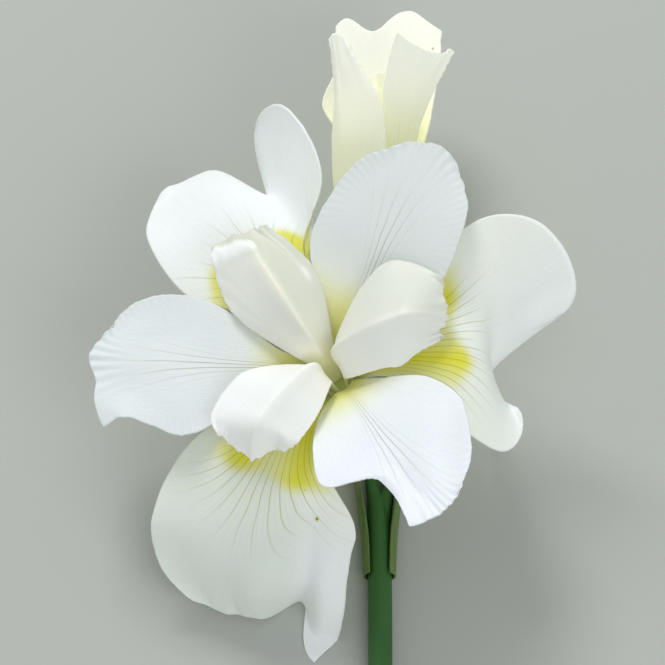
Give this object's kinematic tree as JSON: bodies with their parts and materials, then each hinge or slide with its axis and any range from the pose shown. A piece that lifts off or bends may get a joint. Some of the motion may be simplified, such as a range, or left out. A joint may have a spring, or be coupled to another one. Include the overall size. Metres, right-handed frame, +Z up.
{
  "type": "white iris flower stem",
  "caption": "Cut stem of a white beardless iris lying down, with an open bloom and a half-opened second flower.",
  "frame": {"origin": "centre of the underside, on the surface that the stem lies on", "axes": "+Y along the stem from its cut end to the half-opened flower, +Z up, the way the bloom faces"},
  "size_m": [0.1106, 0.2513, 0.0546],
  "materials": {
    "stem": "matte living stem",
    "bract": "papery green",
    "fall": "soft petal, cream white",
    "standard": "soft petal, cool white",
    "style_arm": "soft petal, pure white",
    "stamen": "dry pollen",
    "bud": "soft petal, cream"
  },
  "bodies": {
    "root": {"stem": "stem", "spathe_bract_left": "bract", "spathe_bract_right": "bract", "fall_front": "fall", "fall_left": "fall", "fall_right": "fall", "standard_left": "standard", "standard_back": "standard", "standard_front": "standard", "style_arm_front": "style_arm", "style_arm_left": "style_arm", "style_arm_right": "style_arm", "stamen_front": "stamen", "stamen_left": "stamen", "stamen_right": "stamen", "bud_fall_left": "bud", "bud_fall_right": "bud", "bud_fall_back": "bud", "bud_standard_left": "bud", "bud_standard_front": "bud", "bud_standard_right": "bud", "bud_style": "bud"}
  },
  "joints": []
}
